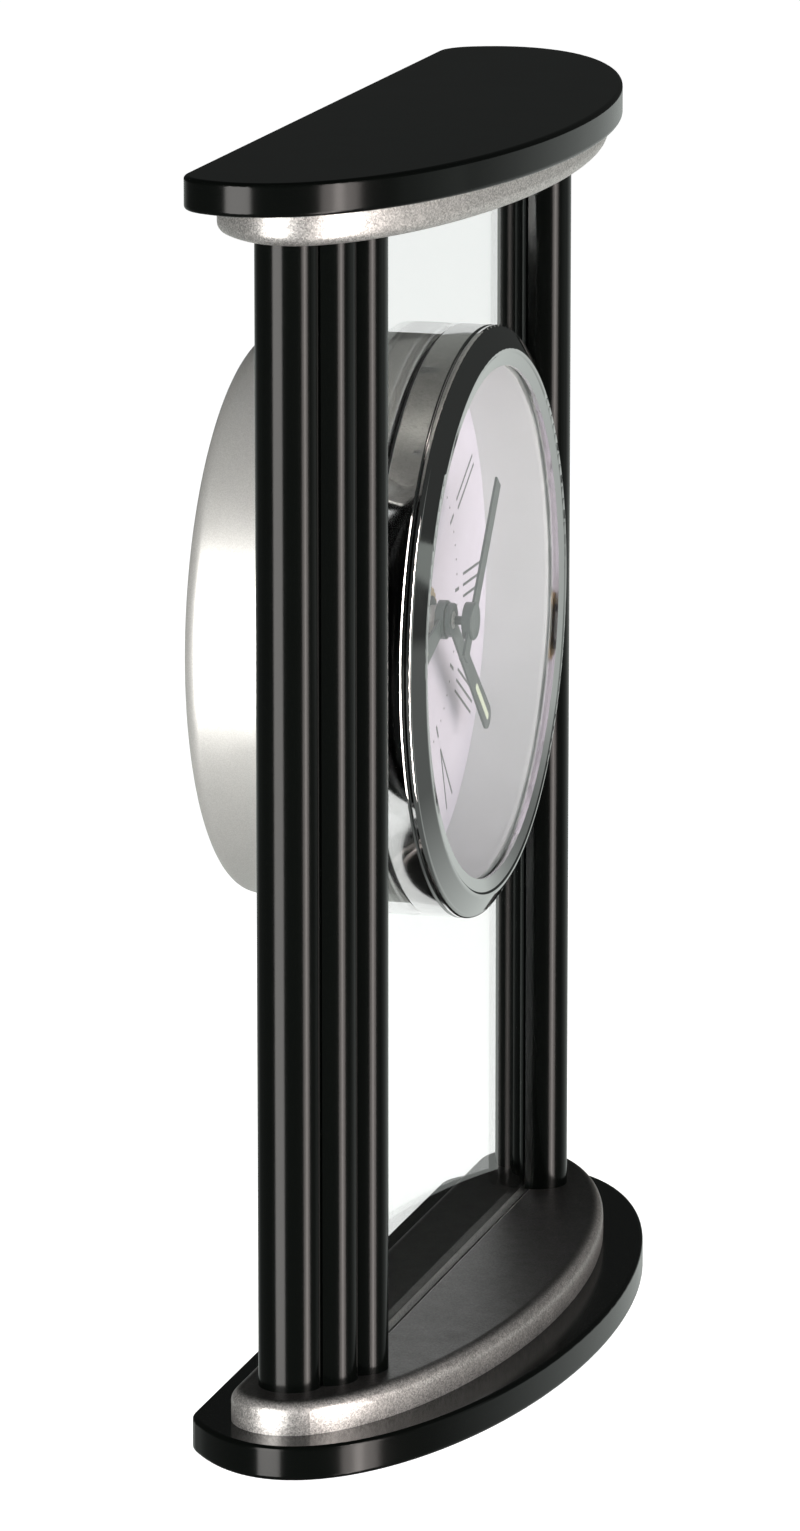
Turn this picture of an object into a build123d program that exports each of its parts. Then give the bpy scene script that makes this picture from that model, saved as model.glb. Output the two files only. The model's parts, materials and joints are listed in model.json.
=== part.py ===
"""Mantel clock: a clock head held in an upright glass panel between two black three-lobed posts, with
bowed black and silver boards below and above. Inside the head is a quartz movement for one AA cell.

Frame: millimetres, X to the clock's right, front towards -Y, Z up. The origin is on the underside,
in the middle of the base plate's width and depth.
"""

import math
import os

from build123d import *

# ------------------------------------------------------------------ case, from the underside up
FELT_T = 1.0
BASE_T = 5.7
LOWER_TIER_T = 5.4
UPPER_TIER_T = 5.2
TOP_T = 5.5
TOTAL_H = 211.0

BASE_Z = FELT_T
LOWER_TIER_Z = BASE_Z + BASE_T
POST_Z0 = LOWER_TIER_Z + LOWER_TIER_T
TOP_Z = TOTAL_H - TOP_T
POST_Z1 = TOP_Z - UPPER_TIER_T

# Board outlines: half width, half depth, centre Y of the ellipse, Y of the straight back, corner radius
BASE_OUTLINE = (88.8, 33.4, 7.9, 25.5, 8.5)
LOWER_TIER_OUTLINE = (83.6, 29.3, 11.0, 18.8, 9.5)
UPPER_TIER_OUTLINE = (80.6, 26.7, 8.6, 22.0, 6.0)
TOP_OUTLINE = (85.2, 34.6, 13.3, 24.9, 8.0)
FELT_INSET = 4.0
ARRIS = 0.7
TIER_ROUND = 2.2

# Posts: three equal lobes a side, split at the glass
LOBE_R = 5.25
LOBES = ((71.6, 9.6), (66.3, 5.1), (59.3, 1.9))
SPLIT_GAP = 0.2
POST_EDGE = 0.5

# Glass, upright between the post halves
GLASS_T = 3.0
GLASS_Y = 4.3
GLASS_HALF_W = 66.0
GLASS_CORNER = 1.0
GROOVE_DEPTH = 2.0
GROOVE_W = GLASS_T + 0.3
GROOVE_BEVEL = 0.8
STRIP_T = 0.5
GLASS_Z0 = POST_Z0 - GROOVE_DEPTH + STRIP_T
GLASS_Z1 = POST_Z1 + GROOVE_DEPTH - STRIP_T
GLASS_FRONT = GLASS_Y - GLASS_T / 2
GLASS_BACK = GLASS_Y + GLASS_T / 2

# Fasteners of the case
ROD_R = 1.5
ROD_HOLE_R = 1.6
ROD_PLACES = [(side * x, y) for side in (-1, 1) for x, y in ((71.6, 9.6), (60.0, -0.5))]
NUT_ACROSS = 5.5
NUT_T = 2.4
NUT_BORE_R = 3.4
NUT_BORE_DEPTH = 3.2
INSERT_R = 2.2
INSERT_DEPTH = 4.0
SCREW_R = 1.3
SCREW_HEAD_R = 2.6
SCREW_HEAD_H = 1.3
SCREW_LENGTH = 9.0
SCREW_PLACES = ((-44.0, 9.5), (0.0, 12.5), (44.0, 9.5))

# ------------------------------------------------------------------ clock head, turned about one axis
HEAD_Z = 125.4
HEAD_AXIS = Axis((0, 0, HEAD_Z), (0, 1, 0))
HEAD_PROFILE = Plane.XY.offset(HEAD_Z)
DRUM_R = 49.8
CREST_R = 45.8
CREST_Y = -6.3
SEAM_Y = -3.1
LIP_R = 43.1
LENS_FRONT = -5.2
LENS_T = 1.5
LENS_R = 44.5
LENS_BACK = LENS_FRONT + LENS_T
SLEEVE_R = 46.2
SLEEVE_BORE = 45.1
GLASS_HOLE_R = 46.5
GASKET_T = 0.5
HOUSING_R = 47.8
HOUSING_BACK = 34.9
HOUSING_RIM = 2.9
HOUSING_WALL = 1.5
HOUSING_BACK_T = 2.0
WINDOW = 59.0
DIAL_FRONT = 7.8
DIAL_T = 1.0
DIAL_R = 45.5
DIAL_HOLE_R = 4.2
DIAL_BACK = DIAL_FRONT + DIAL_T

# ------------------------------------------------------------------ hands
HOUR_ANGLE = 252.0
MINUTE_ANGLE = 132.2
SECOND_ANGLE = 38.9
HOUR_HAND = {"back": 3.4, "thick": 0.4, "length": 24.0, "widths": (3.0, 4.6), "hub_r": 3.3, "hub": (2.6, 4.0)}
MINUTE_HAND = {"back": 2.2, "thick": 0.4, "length": 34.0, "widths": (2.8, 4.4), "hub_r": 2.9, "hub": (1.5, 2.3)}
INLAY_W = 1.3
INLAY_L = 11.0
INLAY_FROM_TIP = 1.6
SECOND_LENGTH = 26.8
SECOND_TAIL = 7.2
SECOND_W = 3.0
SECOND_DISC_R = 3.2
SECOND_BOSS_R = 0.75

# ------------------------------------------------------------------ quartz movement
CASE_SIZE = 56.0
CASE_CORNER = 3.0
CASE_WALL = 1.2
CASE_FRONT = DIAL_BACK
COVER_Y = 24.4
COVER_T = 1.2
DIVIDER_Z = -11.7
DIVIDER_T = 0.9
STEM_R = 3.9
STEM_FRONT = 5.4
NUT_R = 5.6
CELL_R = 7.1
CELL_HALF_L = 24.7
CELL_Z = -19.1
CELL_Y = 17.7
RUNNING = 0.06
ARBOR_R = 0.5
MINUTE_PIPE_R = 1.5
HOUR_PIPE_R = 2.4
WHEEL_T = 0.8

# Wheel counts; each pair's modules follow from the distance between its arbors
HOUR_TEETH, MOTION_PINION_TEETH = 40, 10
MOTION_TEETH, CANNON_TEETH, KNOB_TEETH = 36, 12, 12
CENTRE_TEETH, THIRD_PINION_TEETH = 64, 8
THIRD_TEETH, SECOND_PINION_TEETH = 60, 8
SECOND_TEETH, FIFTH_PINION_TEETH = 60, 10
FIFTH_TEETH, ROTOR_PINION_TEETH = 50, 10

# Layers of the train along Y, each the front face of a wheel
HOUR_LAYER, MOTION_LAYER, CENTRE_LAYER = 11.2, 12.8, 14.4
THIRD_LAYER, SECOND_LAYER, FIFTH_LAYER = 15.9, 18.2, 19.8
BRIDGE_Y, BRIDGE_T = 17.1, 0.6
STATOR_Y, STATOR_T = 21.6, 1.0


def polar(centre, distance, angle):
    """Point at a distance and an angle (degrees) from another, in the head's plane."""
    turn = math.radians(angle)
    return (centre[0] + distance * math.cos(turn), centre[1] + distance * math.sin(turn))


MAIN = (0.0, 0.0)
THIRD_ANGLE, MOTION_ANGLE, KNOB_ANGLE, FIFTH_ANGLE, ROTOR_ANGLE = 150.0, -15.0, 0.0, 60.0, 20.0
THIRD_DISTANCE, MOTION_DISTANCE, FIFTH_DISTANCE, ROTOR_DISTANCE = 11.4, 9.6, 10.5, 7.5
THIRD = polar(MAIN, THIRD_DISTANCE, THIRD_ANGLE)
MOTION = polar(MAIN, MOTION_DISTANCE, MOTION_ANGLE)
KNOB = polar(MOTION, MOTION_DISTANCE, KNOB_ANGLE)
FIFTH = polar(MAIN, FIFTH_DISTANCE, FIFTH_ANGLE)
ROTOR = polar(FIFTH, ROTOR_DISTANCE, ROTOR_ANGLE)

os.makedirs("parts", exist_ok=True)


def save(builder, name):
    """Label a finished piece and write it as its own file."""
    builder.part.label = name
    export_step(builder.part, f"parts/{name}.step")


def board(outline, z, thickness, inset=0.0):
    """Bowed board in the part being built: the front of an ellipse, a straight back, rounded corners."""
    half_width, half_depth, centre_y, back_y, corner = outline
    with BuildSketch(Plane.XY.offset(z)) as shape:
        with Locations((0, centre_y)):
            Ellipse(half_width - inset, half_depth - inset)
        with Locations((0, back_y - inset)):
            Rectangle(4 * half_width, 4 * half_depth, align=(Align.CENTER, Align.MIN), mode=Mode.SUBTRACT)
    body = extrude(shape.sketch, amount=thickness)
    fillet(body.edges().filter_by(Axis.Z).group_by(Axis.Y)[-1], corner - inset)


def post_outline(side, front):
    """Front or rear half of a three-lobed post, with the slot that holds the glass."""
    keep = Align.MIN if front else Align.MAX
    edge = GLASS_Y - SPLIT_GAP / 2 if front else GLASS_Y + SPLIT_GAP / 2
    with BuildSketch() as outline:
        with Locations(*[(side * x, y) for x, y in LOBES]):
            Circle(LOBE_R)
        with Locations((side * LOBES[1][0], edge)):
            Rectangle(8 * LOBE_R, 8 * LOBE_R, align=(Align.CENTER, keep), mode=Mode.SUBTRACT)
        with Locations((0, GLASS_Y)):
            Rectangle(2 * GLASS_HALF_W + 0.6, GLASS_T, mode=Mode.SUBTRACT)
    return outline.sketch


def facing_front(y):
    """Plane square to the head's axis at a depth, with X to the right and local Y up."""
    return Plane(origin=(0, y, HEAD_Z), x_dir=(1, 0, 0), z_dir=(0, -1, 0))


def turned(*corners):
    """Face of a closed profile of (radius, depth) corners, ready to turn about the head's axis."""
    with BuildSketch(HEAD_PROFILE) as profile:
        with BuildLine():
            Polyline(*corners, close=True)
        make_face()
    return profile.sketch


def gear_outline(teeth, module, centre, towards, tooth):
    """Toothed wheel in the head's plane. A tooth, or a gap if tooth is false, lies at an angle."""
    pitch_r = teeth * module / 2
    step = 2 * math.pi / teeth
    start = math.radians(towards) + (0 if tooth else step / 2)
    root, tip = pitch_r - 0.95 * module, pitch_r + 0.75 * module
    flank = ((root, -0.27), (tip, -0.09), (tip, 0.09), (root, 0.27))
    points = []
    for number in range(teeth):
        for radius, share in flank:
            turn = start + step * (number + share)
            points.append((centre[0] + radius * math.cos(turn), centre[1] + radius * math.sin(turn)))
    with BuildSketch() as outline:
        with BuildLine():
            Polyline(*points, close=True)
        make_face()
    return outline.sketch


def disc(y_front, y_back, radius, centre=MAIN, mode=Mode.ADD):
    """Round bar between two depths, on an arbor's centre."""
    with BuildSketch(facing_front(y_front)) as section:
        with Locations(centre):
            Circle(radius)
    extrude(section.sketch, amount=-(y_back - y_front), mode=mode)


def wheel(y_front, outline):
    """Toothed wheel of the train, one wheel thickness deep."""
    with BuildSketch(facing_front(y_front)) as section:
        add(outline)
    extrude(section.sketch, amount=-WHEEL_T)


def box_between(x_span, y_span, z_span, mode=Mode.ADD):
    """Box from spans of X, Y and height about the head's axis."""
    centre = (sum(x_span) / 2, sum(y_span) / 2, HEAD_Z + sum(z_span) / 2)
    with Locations(centre):
        Box(x_span[1] - x_span[0], y_span[1] - y_span[0], z_span[1] - z_span[0], mode=mode)


# ------------------------------------------------------------------ boards
with BuildPart() as felt_pad:
    board(BASE_OUTLINE, 0, FELT_T, inset=FELT_INSET)
save(felt_pad, "felt_pad")

with BuildPart() as base_plate:
    board(BASE_OUTLINE, BASE_Z, BASE_T)
    fillet(base_plate.faces().filter_by(Axis.Z).edges(), ARRIS)
    with Locations(*[Plane(origin=(x, y, BASE_Z), z_dir=(0, 0, -1)) for x, y in ROD_PLACES]):
        CounterBoreHole(ROD_HOLE_R, NUT_BORE_R, NUT_BORE_DEPTH)
    with Locations(*[Plane(origin=(x, y, BASE_Z), z_dir=(0, 0, -1)) for x, y in SCREW_PLACES]):
        CounterSinkHole(SCREW_R, SCREW_HEAD_R)
save(base_plate, "base_plate")

with BuildPart() as lower_tier:
    board(LOWER_TIER_OUTLINE, LOWER_TIER_Z, LOWER_TIER_T)
    fillet(lower_tier.faces().sort_by(Axis.Z)[-1].edges(), TIER_ROUND)
    with Locations((0, GLASS_Y, POST_Z0)):
        Box(2 * GLASS_HALF_W + 0.6, GROOVE_W, 2 * GROOVE_DEPTH, mode=Mode.SUBTRACT)
    groove_lip = lower_tier.edges().filter_by(Axis.X).group_by(Axis.Z)[-1].sort_by(Axis.Y)[0]
    chamfer(groove_lip, GROOVE_BEVEL)
    with Locations(*[(x, y, POST_Z0) for x, y in ROD_PLACES]):
        Hole(ROD_HOLE_R, LOWER_TIER_T)
    with Locations(*[Plane(origin=(x, y, LOWER_TIER_Z), z_dir=(0, 0, -1)) for x, y in SCREW_PLACES]):
        Hole(SCREW_R, SCREW_LENGTH - BASE_T + 0.5)
save(lower_tier, "lower_tier")

with BuildPart() as upper_tier:
    board(UPPER_TIER_OUTLINE, POST_Z1, UPPER_TIER_T)
    fillet(upper_tier.faces().sort_by(Axis.Z)[0].edges(), TIER_ROUND)
    with Locations((0, GLASS_Y, POST_Z1)):
        Box(2 * GLASS_HALF_W + 0.6, GROOVE_W, 2 * GROOVE_DEPTH, mode=Mode.SUBTRACT)
    with Locations(*[Plane(origin=(x, y, POST_Z1), z_dir=(0, 0, -1)) for x, y in ROD_PLACES]):
        Hole(INSERT_R, INSERT_DEPTH)
    with Locations(*[Plane(origin=(x, y, POST_Z1), z_dir=(0, 0, -1)) for x, y in SCREW_PLACES]):
        CounterSinkHole(SCREW_R, SCREW_HEAD_R)
save(upper_tier, "upper_tier")

with BuildPart() as top_plate:
    board(TOP_OUTLINE, TOP_Z, TOP_T)
    fillet(top_plate.faces().filter_by(Axis.Z).edges(), ARRIS)
    with Locations(*[Plane(origin=(x, y, TOP_Z), z_dir=(0, 0, -1)) for x, y in SCREW_PLACES]):
        Hole(SCREW_R, SCREW_LENGTH - UPPER_TIER_T + 0.5)
save(top_plate, "top_plate")

# ------------------------------------------------------------------ posts
for side, side_name in ((-1, "left"), (1, "right")):
    for front, half_name in ((True, "front"), (False, "rear")):
        places = [(x, y) for x, y in ROD_PLACES if x * side > 0 and (y < GLASS_Y) == front]
        with BuildPart() as post:
            with BuildSketch(Plane.XY.offset(POST_Z0)):
                add(post_outline(side, front))
            extrude(amount=POST_Z1 - POST_Z0)
            with Locations(*[(x, y, POST_Z1) for x, y in places]):
                Hole(ROD_HOLE_R)
        save(post, f"{side_name}_{half_name}_post")

# ------------------------------------------------------------------ glass and its strips
with BuildPart() as glass_panel:
    with BuildSketch(Plane(origin=(0, GLASS_FRONT, 0), x_dir=(1, 0, 0), z_dir=(0, -1, 0))):
        with Locations((0, (GLASS_Z0 + GLASS_Z1) / 2)):
            RectangleRounded(2 * GLASS_HALF_W, GLASS_Z1 - GLASS_Z0, GLASS_CORNER)
        with Locations((0, HEAD_Z)):
            Circle(GLASS_HOLE_R, mode=Mode.SUBTRACT)
    extrude(amount=-GLASS_T)
save(glass_panel, "glass_panel")

with BuildPart() as glass_strips:
    with Locations((0, GLASS_Y, GLASS_Z0 - STRIP_T / 2), (0, GLASS_Y, GLASS_Z1 + STRIP_T / 2)):
        Box(2 * GLASS_HALF_W, GLASS_T, STRIP_T)
save(glass_strips, "glass_strips")

# ------------------------------------------------------------------ fasteners of the case
NUT_Z = BASE_Z + NUT_BORE_DEPTH - NUT_T
with BuildPart() as tie_rods:
    with BuildSketch(Plane.XY.offset(NUT_Z)):
        with Locations(*ROD_PLACES):
            Circle(ROD_R)
    extrude(amount=POST_Z1 + INSERT_DEPTH - NUT_Z)
save(tie_rods, "tie_rods")

with BuildPart() as rod_nuts:
    with BuildSketch(Plane.XY.offset(NUT_Z)):
        with Locations(*ROD_PLACES):
            RegularPolygon(NUT_ACROSS / 2, 6, major_radius=False)
            Circle(ROD_R + 0.03, mode=Mode.SUBTRACT)
    extrude(amount=NUT_T)
save(rod_nuts, "rod_nuts")

with BuildPart() as rod_inserts:
    with BuildSketch(Plane.XY.offset(POST_Z1)):
        with Locations(*ROD_PLACES):
            Circle(INSERT_R - 0.02)
            Circle(ROD_R + 0.03, mode=Mode.SUBTRACT)
    extrude(amount=INSERT_DEPTH)
save(rod_inserts, "rod_inserts")

for screws_name, head_z in (("base_screws", BASE_Z), ("top_screws", POST_Z1)):
    with BuildPart() as screws:
        for x, y in SCREW_PLACES:
            with BuildSketch(Plane(origin=(x, y, head_z))):
                Circle(SCREW_HEAD_R - 0.1)
            with BuildSketch(Plane(origin=(x, y, head_z + SCREW_HEAD_H))):
                Circle(SCREW_R - 0.05)
            loft()
            with BuildSketch(Plane(origin=(x, y, head_z + SCREW_HEAD_H))):
                Circle(SCREW_R - 0.05)
            extrude(amount=SCREW_LENGTH - SCREW_HEAD_H)
    save(screws, screws_name)

# ------------------------------------------------------------------ head: front drum, bezel, lens
with BuildPart() as bezel:
    edge_y = SEAM_Y - 0.8
    with BuildSketch(HEAD_PROFILE):
        with BuildLine():
            Polyline((LIP_R, LENS_FRONT - 0.5), (LIP_R, LENS_FRONT), (LENS_R + 0.1, LENS_FRONT))
            Polyline((LENS_R + 0.1, LENS_FRONT), (LENS_R + 0.1, SEAM_Y + 3.0), (SLEEVE_R, SEAM_Y + 3.0))
            Polyline((SLEEVE_R, SEAM_Y + 3.0), (SLEEVE_R, SEAM_Y - 0.1), (DRUM_R - 0.3, SEAM_Y - 0.1))
            Line((DRUM_R - 0.3, SEAM_Y - 0.1), (DRUM_R, SEAM_Y - 0.4))
            Line((DRUM_R, SEAM_Y - 0.4), (DRUM_R, edge_y))
            ThreePointArc((DRUM_R, edge_y), (DRUM_R - 0.25, edge_y - 0.45), (DRUM_R - 0.7, edge_y - 0.7))
            Line((DRUM_R - 0.7, edge_y - 0.7), (CREST_R + 0.6, CREST_Y + 0.15))
            ThreePointArc(
                (CREST_R + 0.6, CREST_Y + 0.15), (CREST_R + 0.05, CREST_Y), (CREST_R - 0.5, CREST_Y + 0.2)
            )
            Line((CREST_R - 0.5, CREST_Y + 0.2), (LIP_R, LENS_FRONT - 0.5))
        make_face()
    revolve(axis=HEAD_AXIS)
save(bezel, "bezel")

with BuildPart() as front_drum:
    drum_back = GLASS_FRONT - GASKET_T
    revolve(
        turned(
            (SLEEVE_R + 0.1, SEAM_Y),
            (DRUM_R - 0.3, SEAM_Y),
            (DRUM_R, SEAM_Y + 0.3),
            (DRUM_R, drum_back - 0.3),
            (DRUM_R - 0.3, drum_back),
            (SLEEVE_R + 0.1, drum_back),
        ),
        axis=HEAD_AXIS,
    )
save(front_drum, "front_drum")

with BuildPart() as lens:
    disc(LENS_FRONT, LENS_BACK, LENS_R)
save(lens, "lens")

with BuildPart() as lens_gasket:
    disc(LENS_BACK, LENS_BACK + 0.6, LENS_R)
    disc(LENS_BACK, LENS_BACK + 0.6, LIP_R + 0.2, mode=Mode.SUBTRACT)
save(lens_gasket, "lens_gasket")

SLEEVE_FRONT = LENS_BACK + 0.6
SLEEVE_BACK = 16.0
with BuildPart() as inner_sleeve:
    step_y = SEAM_Y + 3.1
    revolve(
        turned(
            (LIP_R + 0.2, SLEEVE_FRONT),
            (LENS_R, SLEEVE_FRONT),
            (LENS_R, step_y),
            (SLEEVE_R, step_y),
            (SLEEVE_R, SLEEVE_BACK),
            (DIAL_R + 0.1, SLEEVE_BACK),
            (DIAL_R + 0.1, DIAL_FRONT),
            (SLEEVE_BORE, DIAL_FRONT),
        ),
        axis=HEAD_AXIS,
    )
save(inner_sleeve, "inner_sleeve")

for gasket_name, gasket_y, gasket_r in (
    ("front_gasket", GLASS_FRONT - GASKET_T, DRUM_R - 0.6),
    ("rear_gasket", GLASS_BACK, HOUSING_R - 0.3),
):
    with BuildPart() as gasket:
        disc(gasket_y, gasket_y + GASKET_T, gasket_r)
        disc(gasket_y, gasket_y + GASKET_T, GLASS_HOLE_R, mode=Mode.SUBTRACT)
    save(gasket, gasket_name)

with BuildPart() as rear_housing:
    disc(GLASS_BACK + GASKET_T, HOUSING_BACK, HOUSING_R)
    fillet(rear_housing.faces().sort_by(Axis.Y)[-1].edges(), HOUSING_RIM)
    disc(GLASS_BACK + GASKET_T, HOUSING_BACK - HOUSING_BACK_T, HOUSING_R - HOUSING_WALL, mode=Mode.SUBTRACT)
    with BuildSketch(facing_front(HOUSING_BACK)):
        RectangleRounded(WINDOW, WINDOW, CASE_CORNER)
    extrude(amount=HOUSING_BACK_T, mode=Mode.SUBTRACT)
save(rear_housing, "rear_housing")

# ------------------------------------------------------------------ dial and hands
with BuildPart() as dial:
    disc(DIAL_FRONT, DIAL_BACK, DIAL_R)
    disc(DIAL_FRONT, DIAL_BACK, DIAL_HOLE_R, mode=Mode.SUBTRACT)
save(dial, "dial")

with BuildPart() as dial_ring:
    disc(DIAL_BACK, DIAL_BACK + 0.8, DIAL_R)
    disc(DIAL_BACK, DIAL_BACK + 0.8, DIAL_R - 1.8, mode=Mode.SUBTRACT)
save(dial_ring, "dial_ring")


def pointed_hand(shape, angle, bore):
    """Hand that widens to a round tip, with a slot for its pale inlay and a hub, in the part being built."""
    hub_front, hub_back = shape["hub"]
    root_r, tip_r = (width / 2 for width in shape["widths"])
    inlay_centre = shape["length"] - INLAY_FROM_TIP - INLAY_L / 2
    with BuildSketch(facing_front(shape["back"])) as blade:
        with Locations((0, 0, 0)), Locations(Rotation(0, 0, 90 - angle)):
            Circle(root_r)
            with Locations((shape["length"] - tip_r, 0)):
                Circle(tip_r)
            make_hull()
            with Locations((inlay_centre, 0)):
                SlotOverall(INLAY_L, INLAY_W, mode=Mode.SUBTRACT)
    extrude(blade.sketch, amount=shape["thick"])
    disc(hub_front, hub_back, shape["hub_r"])
    disc(hub_front, hub_back, bore, mode=Mode.SUBTRACT)


with BuildPart() as hour_hand:
    pointed_hand(HOUR_HAND, HOUR_ANGLE, HOUR_PIPE_R + 0.02)
save(hour_hand, "hour_hand")

with BuildPart() as minute_hand:
    pointed_hand(MINUTE_HAND, MINUTE_ANGLE, MINUTE_PIPE_R + 0.02)
save(minute_hand, "minute_hand")

DISC_FRONT, DISC_BACK = -2.35, -0.65
BOSS_BACK = 1.2
with BuildPart() as second_hand:
    with BuildSketch(facing_front((DISC_FRONT + DISC_BACK) / 2)) as second_blade:
        with Locations(Rotation(0, 0, 90 - SECOND_ANGLE)):
            with Locations(((SECOND_LENGTH - SECOND_TAIL) / 2, 0)):
                Rectangle(SECOND_LENGTH + SECOND_TAIL, SECOND_W)
    extrude(amount=0.4)
    disc(DISC_FRONT, DISC_BACK, SECOND_DISC_R)
    fillet(second_hand.faces().sort_by(Axis.Y)[0].edges(), 0.3)
    disc(DISC_BACK, BOSS_BACK, SECOND_BOSS_R)
    disc(DISC_BACK - 0.8, BOSS_BACK, ARBOR_R + 0.02, mode=Mode.SUBTRACT)
save(second_hand, "second_hand")

# ------------------------------------------------------------------ movement: case, cover, nut
half_case = CASE_SIZE / 2
inner = half_case - CASE_WALL
with BuildPart() as movement_case:
    with BuildSketch(facing_front(CASE_FRONT)):
        RectangleRounded(CASE_SIZE, CASE_SIZE, CASE_CORNER)
    extrude(amount=-(COVER_Y - CASE_FRONT))
    train_floor = CASE_FRONT + CASE_WALL
    box_between((-inner, inner), (train_floor, COVER_Y), (DIVIDER_Z + DIVIDER_T, inner), mode=Mode.SUBTRACT)
    bay_floor = CELL_Y - CELL_R - 0.2
    box_between((-inner, inner), (bay_floor, COVER_Y), (-inner, DIVIDER_Z), mode=Mode.SUBTRACT)
    disc(STEM_FRONT, CASE_FRONT, STEM_R)
    disc(train_floor, MOTION_LAYER + WHEEL_T + 0.3, ARBOR_R, centre=MOTION)
    for peg_x in (-17.0, 17.0):
        disc(train_floor, STATOR_Y, 1.3, centre=(peg_x, 22.0))
    disc(STEM_FRONT, train_floor, HOUR_PIPE_R + RUNNING, mode=Mode.SUBTRACT)
    disc(train_floor - 0.7, train_floor, ARBOR_R + RUNNING, centre=THIRD, mode=Mode.SUBTRACT)
    disc(train_floor - 0.7, train_floor, ARBOR_R + RUNNING, centre=KNOB, mode=Mode.SUBTRACT)
save(movement_case, "movement_case")

with BuildPart() as movement_cover:
    box_between((-half_case, half_case), (COVER_Y, COVER_Y + COVER_T), (DIVIDER_Z, half_case))
    fillet(movement_cover.edges().filter_by(Axis.Y).group_by(Axis.Z)[-1], CASE_CORNER)
    for pivot in (MAIN, THIRD, FIFTH, ROTOR):
        disc(COVER_Y, COVER_Y + 0.7, ARBOR_R + RUNNING, centre=pivot, mode=Mode.SUBTRACT)
    disc(COVER_Y, COVER_Y + COVER_T, 1.5 + RUNNING, centre=KNOB, mode=Mode.SUBTRACT)
save(movement_cover, "movement_cover")

with BuildPart() as train_bridge:
    box_between((-15.0, 16.3), (BRIDGE_Y, BRIDGE_Y + BRIDGE_T), (-5.0, 15.0))
    for post_x in (-14.0, 15.3):
        box_between((post_x - 1, post_x + 1), (BRIDGE_Y + BRIDGE_T, COVER_Y), (-5.0, -3.0))
    disc(BRIDGE_Y, BRIDGE_Y + BRIDGE_T, 1.2, centre=MAIN, mode=Mode.SUBTRACT)
    disc(BRIDGE_Y, BRIDGE_Y + BRIDGE_T, 1.2, centre=THIRD, mode=Mode.SUBTRACT)
    for pivot in (FIFTH, ROTOR):
        disc(BRIDGE_Y, BRIDGE_Y + BRIDGE_T, ARBOR_R + RUNNING, centre=pivot, mode=Mode.SUBTRACT)
save(train_bridge, "train_bridge")

with BuildPart() as movement_nut:
    nut_front = 5.9
    with BuildSketch(facing_front(nut_front)):
        Circle(NUT_R)
        with PolarLocations(NUT_R, 24):
            Circle(0.35, mode=Mode.SUBTRACT)
        Circle(STEM_R + 0.02, mode=Mode.SUBTRACT)
    extrude(amount=-(DIAL_FRONT - 0.3 - nut_front))
save(movement_nut, "movement_nut")

with BuildPart() as nut_washer:
    disc(DIAL_FRONT - 0.3, DIAL_FRONT, NUT_R + 1.0)
    disc(DIAL_FRONT - 0.3, DIAL_FRONT, STEM_R + 0.1, mode=Mode.SUBTRACT)
save(nut_washer, "nut_washer")

# ------------------------------------------------------------------ movement: wheel train
hour_module = 2 * MOTION_DISTANCE / (HOUR_TEETH + MOTION_PINION_TEETH)
motion_module = 2 * MOTION_DISTANCE / (MOTION_TEETH + CANNON_TEETH)
centre_module = 2 * THIRD_DISTANCE / (CENTRE_TEETH + THIRD_PINION_TEETH)
third_module = 2 * THIRD_DISTANCE / (THIRD_TEETH + SECOND_PINION_TEETH)
second_module = 2 * FIFTH_DISTANCE / (SECOND_TEETH + FIFTH_PINION_TEETH)
fifth_module = 2 * ROTOR_DISTANCE / (FIFTH_TEETH + ROTOR_PINION_TEETH)
# The motion wheel has a tooth towards the centre, so the tooth nearest the knob is a little off line
motion_step = 360 / MOTION_TEETH
towards_knob = round((KNOB_ANGLE - MOTION_ANGLE - 180) / motion_step) * motion_step + MOTION_ANGLE + 180
knob_lead = (KNOB_ANGLE - towards_knob) * MOTION_TEETH / KNOB_TEETH

with BuildPart() as hour_wheel:
    wheel(HOUR_LAYER, gear_outline(HOUR_TEETH, hour_module, MAIN, MOTION_ANGLE, False))
    disc(HOUR_HAND["hub"][0], HOUR_LAYER, HOUR_PIPE_R)
    disc(HOUR_HAND["hub"][0], HOUR_LAYER + WHEEL_T, MINUTE_PIPE_R + RUNNING, mode=Mode.SUBTRACT)
save(hour_wheel, "hour_wheel")

with BuildPart() as motion_wheel:
    wheel(MOTION_LAYER, gear_outline(MOTION_TEETH, motion_module, MOTION, MOTION_ANGLE + 180, True))
    wheel(HOUR_LAYER, gear_outline(MOTION_PINION_TEETH, hour_module, MOTION, MOTION_ANGLE + 180, True))
    disc(HOUR_LAYER + WHEEL_T, MOTION_LAYER, 1.2, centre=MOTION)
    disc(HOUR_LAYER, MOTION_LAYER + WHEEL_T, ARBOR_R + RUNNING, centre=MOTION, mode=Mode.SUBTRACT)
save(motion_wheel, "motion_wheel")

with BuildPart() as centre_wheel:
    wheel(CENTRE_LAYER, gear_outline(CENTRE_TEETH, centre_module, MAIN, THIRD_ANGLE, False))
    wheel(MOTION_LAYER, gear_outline(CANNON_TEETH, motion_module, MAIN, MOTION_ANGLE, False))
    disc(MINUTE_HAND["hub"][0], CENTRE_LAYER, MINUTE_PIPE_R)
    disc(MINUTE_HAND["hub"][0], CENTRE_LAYER + WHEEL_T, ARBOR_R + RUNNING, mode=Mode.SUBTRACT)
save(centre_wheel, "centre_wheel")

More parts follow.
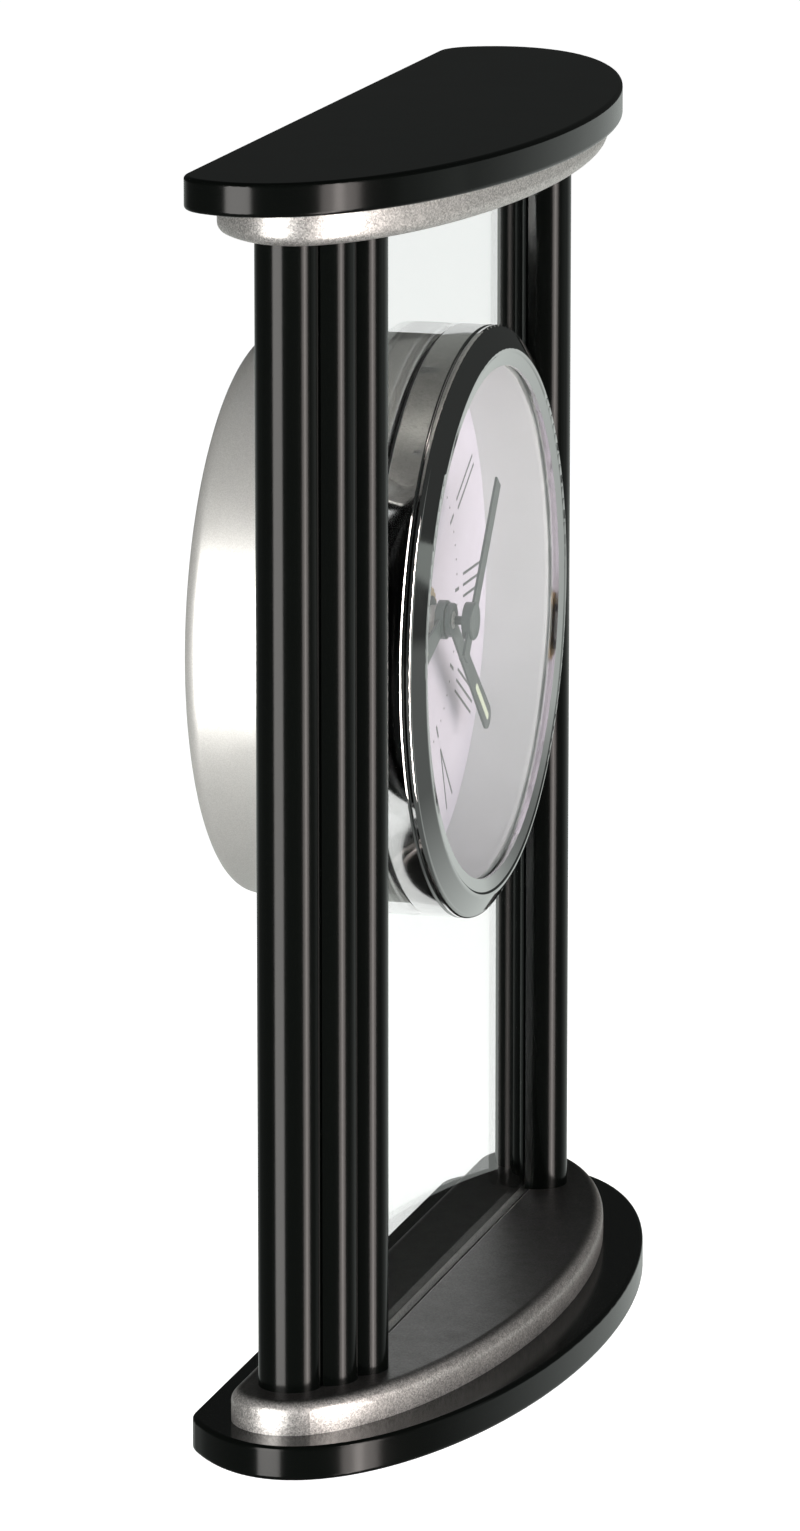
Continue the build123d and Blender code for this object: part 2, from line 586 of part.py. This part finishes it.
with BuildPart() as third_wheel:
    wheel(THIRD_LAYER, gear_outline(THIRD_TEETH, third_module, THIRD, THIRD_ANGLE + 180, False))
    wheel(CENTRE_LAYER, gear_outline(THIRD_PINION_TEETH, centre_module, THIRD, THIRD_ANGLE + 180, True))
    disc(CENTRE_LAYER + WHEEL_T, THIRD_LAYER, 1.0, centre=THIRD)
    disc(CASE_FRONT + CASE_WALL - 0.5, COVER_Y + 0.5, ARBOR_R, centre=THIRD)
save(third_wheel, "third_wheel")

with BuildPart() as seconds_wheel:
    wheel(SECOND_LAYER, gear_outline(SECOND_TEETH, second_module, MAIN, FIFTH_ANGLE, False))
    wheel(THIRD_LAYER, gear_outline(SECOND_PINION_TEETH, third_module, MAIN, THIRD_ANGLE, True))
    disc(DISC_BACK - 0.7, COVER_Y + 0.5, ARBOR_R)
save(seconds_wheel, "seconds_wheel")

with BuildPart() as fifth_wheel:
    wheel(FIFTH_LAYER, gear_outline(FIFTH_TEETH, fifth_module, FIFTH, ROTOR_ANGLE, False))
    wheel(SECOND_LAYER, gear_outline(FIFTH_PINION_TEETH, second_module, FIFTH, FIFTH_ANGLE + 180, True))
    disc(BRIDGE_Y + 0.1, COVER_Y + 0.5, ARBOR_R, centre=FIFTH)
save(fifth_wheel, "fifth_wheel")

MAGNET_R = 2.6
with BuildPart() as rotor:
    wheel(FIFTH_LAYER, gear_outline(ROTOR_PINION_TEETH, fifth_module, ROTOR, ROTOR_ANGLE + 180, True))
    disc(BRIDGE_Y + 0.1, COVER_Y + 0.5, ARBOR_R, centre=ROTOR)
    disc(21.3, 23.3, MAGNET_R, centre=ROTOR)
save(rotor, "rotor")

with BuildPart() as setting_knob:
    wheel(MOTION_LAYER, gear_outline(KNOB_TEETH, motion_module, KNOB, KNOB_ANGLE + 180 + knob_lead, False))
    disc(CASE_FRONT + CASE_WALL - 0.5, MOTION_LAYER, ARBOR_R, centre=KNOB)
    disc(MOTION_LAYER + WHEEL_T, 26.4, 1.5, centre=KNOB)
    with BuildSketch(facing_front(26.4)):
        with Locations(KNOB):
            Circle(5.5)
            with PolarLocations(5.5, 20):
                Circle(0.35, mode=Mode.SUBTRACT)
    extrude(amount=-3.4)
save(setting_knob, "setting_knob")

# ------------------------------------------------------------------ movement: drive and cell
with BuildPart() as stator:
    with BuildSketch(facing_front(STATOR_Y)):
        with Locations((0, 18.25)):
            Rectangle(40.0, 11.5)
        with Locations((0, 18.5)):
            Rectangle(30.0, 4.0, mode=Mode.SUBTRACT)
        with Locations(ROTOR):
            Circle(5.4)
            Circle(MAGNET_R + 0.5, mode=Mode.SUBTRACT)
    extrude(amount=-STATOR_T)
save(stator, "stator")

with BuildPart() as coil:
    box_between((-12.0, 12.0), (20.2, 24.0), (18.8, 25.4))
    box_between((-10.8, 10.8), (20.2, 24.0), (18.8, 25.4), mode=Mode.SUBTRACT)
    box_between((-10.8, 10.8), (20.5, 23.7), (19.1, 25.1))
    box_between((-12.0, 12.0), (STATOR_Y - 0.05, STATOR_Y + STATOR_T + 0.05), (20.45, 24.05), mode=Mode.SUBTRACT)
save(coil, "coil")

with BuildPart() as circuit_board:
    box_between((-26.4, -15.6), (COVER_Y - 0.8, COVER_Y), (-9.6, 11.0))
save(circuit_board, "circuit_board")

with BuildPart() as quartz_crystal:
    with BuildSketch(Plane(origin=(-20.0, COVER_Y - 2.0, HEAD_Z - 6.0), x_dir=(1, 0, 0), z_dir=(0, 0, 1))):
        Circle(1.15)
    extrude(amount=6.2)
save(quartz_crystal, "quartz_crystal")

with BuildPart() as battery:
    with BuildSketch(Plane(origin=(-CELL_HALF_L, CELL_Y, HEAD_Z + CELL_Z), z_dir=(1, 0, 0))):
        Circle(CELL_R)
    extrude(amount=2 * CELL_HALF_L)
    fillet(battery.edges().filter_by(GeomType.CIRCLE), 0.5)
    with BuildSketch(Plane(origin=(CELL_HALF_L, CELL_Y, HEAD_Z + CELL_Z), z_dir=(1, 0, 0))):
        Circle(2.7)
    extrude(amount=1.0)
save(battery, "battery")

CONTACT_T = 0.4
for contact_name, side, bump_r, reach in (("positive_contact", 1, 1.8, 0.4), ("negative_contact", -1, 3.2, 1.2)):
    face_x = side * (inner - CONTACT_T)
    with BuildPart() as contact:
        x_span = sorted((side * inner, face_x))
        box_between(x_span, (CELL_Y - 5.5, CELL_Y + 5.5), (CELL_Z - 4.5, CELL_Z + 4.5))
        with BuildSketch(Plane(origin=(face_x, CELL_Y, HEAD_Z + CELL_Z), z_dir=(-side, 0, 0))):
            Circle(bump_r)
        extrude(amount=reach, taper=20)
    save(contact, contact_name)
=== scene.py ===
"""Looks of the mantel clock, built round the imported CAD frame. Metres, X right, front -Y, Z up."""

import json
import math

import bmesh
import bpy
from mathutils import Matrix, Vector


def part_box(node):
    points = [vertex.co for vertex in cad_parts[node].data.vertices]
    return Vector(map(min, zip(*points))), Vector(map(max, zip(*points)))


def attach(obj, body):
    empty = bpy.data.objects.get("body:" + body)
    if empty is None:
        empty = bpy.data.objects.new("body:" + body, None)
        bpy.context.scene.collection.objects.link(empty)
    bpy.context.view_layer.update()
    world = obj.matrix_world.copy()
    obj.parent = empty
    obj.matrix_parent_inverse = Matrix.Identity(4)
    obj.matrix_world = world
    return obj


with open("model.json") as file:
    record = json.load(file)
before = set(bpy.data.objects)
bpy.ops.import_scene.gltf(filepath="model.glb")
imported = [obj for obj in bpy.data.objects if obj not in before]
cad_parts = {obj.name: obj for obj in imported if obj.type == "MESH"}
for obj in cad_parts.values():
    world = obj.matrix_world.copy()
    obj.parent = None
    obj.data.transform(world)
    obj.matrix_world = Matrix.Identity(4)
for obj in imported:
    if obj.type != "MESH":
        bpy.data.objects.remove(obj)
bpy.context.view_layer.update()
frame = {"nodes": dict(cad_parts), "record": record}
nodes = frame["nodes"]
MM = 0.001

# ------------------------------------------------------------------ places, read from the frame
LENS_LOW, LENS_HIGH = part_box("lens")
HEAD_Z = (LENS_LOW.z + LENS_HIGH.z) / 2
DIAL_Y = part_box("dial")[0].y

# ------------------------------------------------------------------ camera
CAMERA_TARGET = Vector((3.38, 11.78, 99.09)) * MM
CAMERA_DISTANCE = 1391.0 * MM
CAMERA_AZIMUTH = -74.6
CAMERA_ELEVATION = 12.48
CAMERA_LENS = 193.35

# ------------------------------------------------------------------ lights, floor and surround
LIGHT_TARGET = Vector((0, 0, 0.105))
# Name, azimuth, elevation, distance, width, height, watts, colour, whether it shows in reflections
LIGHTS = (
    ("front_box", -15, -8, 1.1, 0.46, 1.5, 13, (1.0, 0.92, 0.88), True),
    ("front_strip", -15, -8, 1.05, 0.1, 1.5, 4, (1.0, 0.92, 0.88), True),
    ("left_card", -109, 0, 0.9, 0.5, 0.8, 11, (1.0, 0.97, 0.94), True),
    ("right_card", 26, -1, 1.0, 0.42, 0.36, 0.1, (0.92, 1.0, 0.94), True),
    ("fill", -48, 10, 1.0, 0.5, 0.5, 7, (0.97, 0.98, 1.0), False),
    ("side_fill", -92, 8, 1.0, 0.5, 0.5, 7, (1, 1, 1), False),
)
FLOOR_HALF = 2.5
# The surround in reflections: dim above this height of a direction, and below it lighter towards the right
HORIZON = (-0.1, -0.14)
ABOVE = 0.04
RIGHTWARD = (0.4, 0.96)
BELOW = (0.12, 0.62)
SURROUND_TINT = (0.94, 1.0, 0.96, 1)


def direction(azimuth, elevation):
    """Unit vector from the object towards a viewer or a light. Azimuth 0 is the front, and 90 the right."""
    turn, rise = math.radians(azimuth), math.radians(elevation)
    return Vector((math.sin(turn) * math.cos(rise), -math.cos(turn) * math.cos(rise), math.sin(rise)))


def aim(obj, target):
    """Turns a camera or a light to face a point."""
    obj.rotation_euler = (target - obj.location).to_track_quat("-Z", "Y").to_euler()


def make_camera():
    """The photograph's view."""
    data = bpy.data.cameras.new("camera")
    data.sensor_width = 36.0
    data.lens = CAMERA_LENS
    data.clip_start, data.clip_end = 0.05, 20.0
    camera = bpy.data.objects.new("camera", data)
    bpy.context.collection.objects.link(camera)
    camera.location = CAMERA_TARGET + direction(CAMERA_AZIMUTH, CAMERA_ELEVATION) * CAMERA_DISTANCE
    aim(camera, CAMERA_TARGET)
    bpy.context.scene.camera = camera


def softbox(name, azimuth, elevation, distance, width, height, power, colour, reflects):
    """A rectangular soft light that faces the clock's head from a direction."""
    data = bpy.data.lights.new(name, "AREA")
    data.shape = "RECTANGLE"
    data.size, data.size_y = width, height
    data.energy = power
    data.color = colour
    lamp = bpy.data.objects.new(name, data)
    bpy.context.collection.objects.link(lamp)
    lamp.location = LIGHT_TARGET + direction(azimuth, elevation) * distance
    aim(lamp, LIGHT_TARGET)
    lamp.visible_camera = False
    lamp.visible_glossy = reflects


def seen_through(tree):
    """1 for rays that the camera sends, straight or through glass, and 0 for others."""
    path = tree.nodes.new("ShaderNodeLightPath")
    seen = tree.nodes.new("ShaderNodeMath")
    seen.operation = "MAXIMUM"
    tree.links.new(path.outputs["Is Camera Ray"], seen.inputs[0])
    tree.links.new(path.outputs["Is Transmission Ray"], seen.inputs[1])
    return seen.outputs[0]


def map_range(tree, value, span, result):
    """A node that maps a value from one span to another."""
    node = tree.nodes.new("ShaderNodeMapRange")
    for key, number in zip(("From Min", "From Max", "To Min", "To Max"), (*span, *result)):
        node.inputs[key].default_value = number
    tree.links.new(value, node.inputs["Value"])
    return node


def make_surround():
    """White where the camera sees it, and dim in reflections and as light."""
    world = bpy.data.worlds.new("surround")
    bpy.context.scene.world = world
    world.use_nodes = True
    tree = world.node_tree
    tree.nodes.clear()
    place, axes = tree.nodes.new("ShaderNodeTexCoord"), tree.nodes.new("ShaderNodeSeparateXYZ")
    tree.links.new(place.outputs["Generated"], axes.inputs[0])
    side = map_range(tree, axes.outputs["X"], RIGHTWARD, BELOW)
    level = map_range(tree, axes.outputs["Z"], HORIZON, (ABOVE, BELOW[0]))
    tree.links.new(side.outputs["Result"], level.inputs["To Max"])
    dim, white = tree.nodes.new("ShaderNodeBackground"), tree.nodes.new("ShaderNodeBackground")
    dim.inputs["Color"].default_value = SURROUND_TINT
    tree.links.new(level.outputs["Result"], dim.inputs["Strength"])
    white.inputs["Color"].default_value = (1, 1, 1, 1)
    white.inputs["Strength"].default_value = 1.0
    mix, out = tree.nodes.new("ShaderNodeMixShader"), tree.nodes.new("ShaderNodeOutputWorld")
    tree.links.new(seen_through(tree), mix.inputs[0])
    tree.links.new(dim.outputs[0], mix.inputs[1])
    tree.links.new(white.outputs[0], mix.inputs[2])
    tree.links.new(mix.outputs[0], out.inputs["Surface"])


def make_floor():
    """A plain pale floor under the felt. The lights reach past it, and reflections don't show it."""
    data = bpy.data.meshes.new("floor")
    corners = [(x * FLOOR_HALF, y * FLOOR_HALF, 0) for x, y in ((-1, -1), (1, -1), (1, 1), (-1, 1))]
    data.from_pydata(corners, [], [(0, 1, 2, 3)])
    floor = bpy.data.objects.new("floor", data)
    bpy.context.collection.objects.link(floor)
    look = Look("pale_floor", (0.8, 0.8, 0.8), 0.7)
    look.set("Specular IOR Level", 0.0)
    look.set("Emission Color", (1, 1, 1, 1)).set("Emission Strength", 0.97)
    grey = look.new("ShaderNodeAddShader")
    paint = look.new("ShaderNodeBsdfDiffuse", Color=(0.5, 0.49, 0.47, 1))
    glow = look.new("ShaderNodeEmission", Color=(1, 1, 0.98, 1), Strength=0.3)
    look.link(paint.outputs[0], grey.inputs[0])
    look.link(glow.outputs[0], grey.inputs[1])
    look.show(look.mixed(seen_through(look.tree), grey, look.shader))
    data.materials.append(look.done())
    floor.visible_glossy = False
    floor.visible_shadow = False


# ------------------------------------------------------------------ materials
class Look:
    """A procedural material made step by step on one Principled shader, in object coordinates."""

    def __init__(self, name, colour, roughness, metallic=0.0):
        self.material = bpy.data.materials.new(name)
        self.material.use_nodes = True
        self.tree = self.material.node_tree
        self.shader = self.tree.nodes["Principled BSDF"]
        self.set("Base Color", (*colour, 1))
        self.set("Roughness", roughness)
        self.set("Metallic", metallic)
        self.place = self.new("ShaderNodeTexCoord").outputs["Object"]

    def new(self, kind, **values):
        """A node with its inputs or properties set."""
        node = self.tree.nodes.new(kind)
        for key, value in values.items():
            if key in node.inputs:
                node.inputs[key].default_value = value
            else:
                setattr(node, key, value)
        return node

    def link(self, a, b):
        self.tree.links.new(a, b)

    def mixed(self, share, first, second):
        """A mix of two shaders."""
        mix = self.new("ShaderNodeMixShader")
        self.link(share, mix.inputs[0])
        self.link(first.outputs[0], mix.inputs[1])
        self.link(second.outputs[0], mix.inputs[2])
        return mix

    def show(self, shader):
        """Another shader goes to the material's surface."""
        self.link(shader.outputs[0], self.tree.nodes["Material Output"].inputs["Surface"])

    def set(self, socket, value):
        """A number or colour that is the same all over."""
        self.shader.inputs[socket].default_value = value
        return self

    def noise(self, scale, detail=3.0, stretch=None):
        """A noise value from 0 to 1, of so many features a metre."""
        place = self.place
        if stretch:
            mapping = self.new("ShaderNodeMapping")
            mapping.inputs["Scale"].default_value = stretch
            self.link(place, mapping.inputs["Vector"])
            place = mapping.outputs["Vector"]
        node = self.new("ShaderNodeTexNoise", Scale=scale, Detail=detail)
        self.link(place, node.inputs["Vector"])
        return node.outputs["Fac"]

    def spread(self, value, low, high, start=0.3, end=0.7):
        """A value from start to end mapped to low to high."""
        return map_range(self.tree, value, (start, end), (low, high)).outputs["Result"]

    def tint(self, value, low, high):
        """The colour between two shades as a value goes from 0 to 1."""
        ramp = self.new("ShaderNodeValToRGB")
        ramp.color_ramp.elements[0].color = (*low, 1)
        ramp.color_ramp.elements[1].color = (*high, 1)
        self.link(value, ramp.inputs["Fac"])
        return ramp.outputs["Color"]

    def vary_colour(self, value, low, high):
        """The base colour runs between two shades."""
        self.link(self.tint(value, low, high), self.shader.inputs["Base Color"])
        return self

    def vary_roughness(self, value, low, high):
        """The roughness runs between two values."""
        self.link(self.spread(value, low, high), self.shader.inputs["Roughness"])
        return self

    def bump(self, value, height, strength=1.0):
        """Relief of a real height in metres."""
        node = self.new("ShaderNodeBump", Strength=strength, Distance=height)
        self.link(value, node.inputs["Height"])
        self.link(node.outputs["Normal"], self.shader.inputs["Normal"])
        return self

    def done(self):
        return self.material


def scaled(colour, amount):
    """A colour made lighter or darker."""
    return tuple(part * amount for part in colour)


def lacquer(name, colour, roughness, peel):
    """Dark gloss lacquer with faint orange peel and an uneven polish."""
    look = Look(name, colour, roughness)
    look.set("Specular IOR Level", 0.22)
    look.vary_colour(look.noise(60.0), scaled(colour, 0.9), scaled(colour, 1.1))
    look.vary_roughness(look.noise(120.0), roughness * 0.94, roughness * 1.06)
    return look.bump(look.noise(500.0, 1.0), peel).done()


def sparkle(name, low, high, flake_m, roughness, metallic, painted_top_shade=1.0):
    """Silver lacquer with metal flakes: each cell has its own brightness and tilt. Painted shade can darken a
    level top: the colour of faces that point up is scaled down by the given factor.
    """
    look = Look(name, low, roughness, metallic)
    cells = look.new("ShaderNodeTexVoronoi", Scale=1.0 / flake_m)
    look.link(look.place, cells.inputs["Vector"])
    value = look.new("ShaderNodeSeparateColor")
    look.link(cells.outputs["Color"], value.inputs["Color"])
    colour = look.tint(value.outputs["Red"], low, high)
    # Painted shade: faces that point up get a darker colour, so a level top looks unlit.
    if painted_top_shade < 1:
        facing = look.new("ShaderNodeSeparateXYZ")
        look.link(look.new("ShaderNodeNewGeometry").outputs["Normal"], facing.inputs[0])
        shade = look.spread(facing.outputs["Z"], 1.0, painted_top_shade, 0.75, 0.99)
        darker = look.new("ShaderNodeVectorMath", operation="SCALE")
        look.link(colour, darker.inputs[0])
        look.link(shade, darker.inputs["Scale"])
        colour = darker.outputs[0]
    look.link(colour, look.shader.inputs["Base Color"])
    look.vary_roughness(look.noise(300.0), roughness * 0.92, roughness * 1.08)
    return look.bump(value.outputs["Green"], flake_m * 0.12, 0.5).done()


def metal(name, colour, roughness, scratch=0.0, grain=2500.0):
    """Bare or plated metal with fine polishing marks."""
    look = Look(name, colour, roughness, 1.0)
    look.vary_roughness(look.noise(180.0), roughness * 0.7, roughness * 1.4)
    if scratch:
        look.bump(look.noise(grain, 2.0), scratch)
    return look.done()


def plastic(name, colour, roughness, grain=1500.0, relief=4e-6):
    """Moulded plastic with a fine grain and slight mottling."""
    look = Look(name, colour, roughness)
    look.vary_colour(look.noise(90.0), scaled(colour, 0.92), scaled(colour, 1.06))
    look.vary_roughness(look.noise(260.0), roughness * 0.88, roughness * 1.12)
    return look.bump(look.noise(grain, 2.0), relief).done()


def clear(name, colour):
    """Clear polished glass."""
    look = Look(name, colour, 0.0)
    look.set("Transmission Weight", 1.0).set("IOR", 1.3)
    look.vary_roughness(look.noise(40.0), 0.0, 0.012)
    return look.done()


def thin_clear(name, tint):
    """A clear cover that light crosses freely: glass reflections on the face that a ray enters by."""
    look = Look(name, tint, 0.0)
    see = look.new("ShaderNodeBsdfTransparent", Color=(*tint, 1))
    gloss = look.new("ShaderNodeBsdfGlossy", Roughness=0.01)
    edge = look.new("ShaderNodeFresnel", IOR=1.5)
    back = look.new("ShaderNodeNewGeometry")
    share = look.new("ShaderNodeMix")
    look.link(back.outputs["Backfacing"], share.inputs["Factor"])
    look.link(edge.outputs[0], share.inputs["A"])
    look.show(look.mixed(share.outputs["Result"], see, gloss))
    look.tree.nodes.remove(look.shader)
    return look.done()


def make_materials():
    """Materials by the record's slot, or by a node's name where one node differs."""
    black = (0.0009, 0.0012, 0.001)
    flakes = ((0.36, 0.35, 0.34), (0.82, 0.8, 0.78), 0.00022, 0.4, 0.9)
    return {
        "felt": plastic("felt_nap", (0.015, 0.015, 0.017), 0.95, 3000.0, 1e-4),
        "black_lacquer": lacquer("black_lacquer_paint", black, 0.16, 2e-6),
        "silver_lacquer": sparkle("silver_sparkle", *flakes),
        # The lower tier's level top carries painted shade: its colour is scaled to 0.16 where it faces up.
        "lower_tier": sparkle("lower_silver_sparkle_painted_shade_top", *flakes, painted_top_shade=0.16),
        "clear_glass": clear("panel_glass", (0.88, 0.9, 0.89)),
        "lens_glass": thin_clear("lens_clear", (0.985, 0.985, 0.985)),
        "chrome_plate": metal("chrome_polish", (0.72, 0.72, 0.72), 0.05),
        "satin_silver": sparkle("satin_silver_paint", (0.6, 0.6, 0.58), (0.72, 0.72, 0.7), 0.00012, 0.4, 0.72),
        "light_grey_plastic": plastic("sleeve_grey", (0.6, 0.61, 0.6), 0.5),
        "dial_white": plastic("dial_paper", (0.58, 0.55, 0.62), 0.6, 4000.0, 2e-6),
        "hand_grey": plastic("hand_paint", (0.075, 0.09, 0.086), 0.35, 3000.0, 1e-6),
        "black_rubber": plastic("rubber_black", (0.02, 0.02, 0.02), 0.6),
        "steel": metal("zinc_steel", (0.55, 0.55, 0.56), 0.28, 2e-6),
        "brass": metal("turned_brass", (0.72, 0.52, 0.25), 0.22, 2e-6),
        "case_plastic": plastic("case_black", (0.025, 0.025, 0.027), 0.45, 1800.0, 8e-6),
        "gear_plastic": plastic("gear_white", (0.72, 0.71, 0.67), 0.4),
        "copper": metal("copper_wire", (0.7, 0.3, 0.14), 0.3, 2e-5, 9000.0),
        "board_green": plastic("board_green_resist", (0.02, 0.13, 0.05), 0.35),
        "cell_jacket": plastic("cell_wrap", (0.02, 0.07, 0.035), 0.25),
    }


def dress(materials):
    """Gives each CAD node its material."""
    slots = {part["node"]: part["material_slot"] for part in frame["record"]["subparts"]}
    for name, obj in nodes.items():
        obj.data.materials.clear()
        obj.data.materials.append(materials.get(name, materials[slots[name]]))


# ------------------------------------------------------------------ print on the dial, inlays in the hands
NUMERALS = ("XII", "I", "II", "III", "IIII", "V", "VI", "VII", "VIII", "IX", "X", "XI")
NUMERAL_R = (29.6, 41.6)
LETTER_WIDTH = {"I": 1.95, "V": 4.4, "X": 4.4}
LETTER_STROKES = {"I": ((0, 0),), "V": ((0, -2.0), (0, 2.0)), "X": ((-1.8, 1.8), (1.8, -1.8))}
STROKE_W = 0.5
TRACK_R = (24.4, 26.9)
MARK_W = 0.6
DOT_R = 0.22
DOT_SIDES = 8
PRINT_T = 0.03
INLAY_W = 1.24
INLAY_T = 0.4
# Piece, body, clock angle, nearest and furthest radius, depth of the front
INLAYS = (
    ("minute_inlay", "minute_hand", 132.2, (21.45, 32.35), 1.78),
    ("hour_inlay", "hour_hand", 252.0, (11.45, 22.35), 2.98),
)


def turn_to(angle, across, radius):
    """Point in the head's plane: so far clockwise of a clock angle's line, and so far out along it."""
    turn = math.radians(angle)
    x = radius * math.sin(turn) + across * math.cos(turn)
    z = radius * math.cos(turn) - across * math.sin(turn)
    return x, z


def plate(mesh, outline, front_y, back_y):
    """Adds a flat plate with an outline of (x, z) millimetres about the head's axis."""
    rings = []
    for depth in (front_y, back_y):
        rings.append([mesh.verts.new((x * MM, depth * MM, HEAD_Z + z * MM)) for x, z in outline])
    mesh.faces.new(rings[0])
    mesh.faces.new(rings[1][::-1])
    for i in range(len(outline)):
        j = (i + 1) % len(outline)
        mesh.faces.new((rings[0][i], rings[1][i], rings[1][j], rings[0][j]))


def bar(mesh, angle, start, end, width, front_y, back_y):
    """Adds a straight stroke between two (across, radius) points beside a clock angle's line."""
    half = width / 2
    corners = (
        (start[0] - half, start[1]),
        (end[0] - half, end[1]),
        (end[0] + half, end[1]),
        (start[0] + half, start[1]),
    )
    plate(mesh, [turn_to(angle, *corner) for corner in corners], front_y, back_y)


def finish_piece(name, mesh, material, body):
    """Makes a Blender object of a mesh, with its material and the body it rides on."""
    data = bpy.data.meshes.new(name)
    bmesh.ops.recalc_face_normals(mesh, faces=mesh.faces)
    mesh.to_mesh(data)
    mesh.free()
    piece = bpy.data.objects.new(name, data)
    bpy.context.collection.objects.link(piece)
    data.materials.append(material)
    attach(piece, body)


def make_inlay(name, body, angle, span, front, paint):
    """Pale luminous strip in a hand's slot, along its own clock angle."""
    strip = bmesh.new()
    radius = INLAY_W / 2
    outline = []
    for centre, start in ((span[1] - radius, -90), (span[0] + radius, 90)):
        for step in range(9):
            turn = math.radians(start + step * 22.5)
            outline.append(turn_to(angle, radius * math.sin(turn), centre + radius * math.cos(turn)))
    plate(strip, outline, front, front + INLAY_T)
    finish_piece(name, strip, paint, body)


def make_print(ink):
    """Roman numerals set radially, and the minute track."""
    front, back = DIAL_Y / MM - PRINT_T, DIAL_Y / MM
    numerals = bmesh.new()
    for hour, text in enumerate(NUMERALS):
        across = -sum(LETTER_WIDTH[letter] for letter in text) / 2
        for letter in text:
            middle = across + LETTER_WIDTH[letter] / 2
            for foot, head in LETTER_STROKES[letter]:
                start, end = (middle + foot, NUMERAL_R[0]), (middle + head, NUMERAL_R[1])
                bar(numerals, hour * 30, start, end, STROKE_W, front, back)
            across += LETTER_WIDTH[letter]
    finish_piece("dial_numerals", numerals, ink, "case")
    track = bmesh.new()
    middle = sum(TRACK_R) / 2
    for minute in range(60):
        angle = minute * 6
        if minute % 5 == 0:
            bar(track, angle, (0, TRACK_R[0]), (0, TRACK_R[1]), MARK_W, front, back)
        else:
            turns = [2 * math.pi * step / DOT_SIDES for step in range(DOT_SIDES)]
            dot = [turn_to(angle, DOT_R * math.cos(turn), middle + DOT_R * math.sin(turn)) for turn in turns]
            plate(track, dot, front, back)
    finish_piece("dial_track", track, ink, "case")


make_camera()
for light in LIGHTS:
    softbox(*light)
make_surround()
make_floor()
dress(make_materials())
make_print(plastic("dial_ink", (0.09, 0.1, 0.1), 0.6, 4000.0, 1e-6))
pale = plastic("hand_lume", (0.62, 0.68, 0.52), 0.5, 4000.0, 1e-6)
for inlay in INLAYS:
    make_inlay(*inlay, pale)
bpy.context.scene.view_settings.view_transform = "Standard"
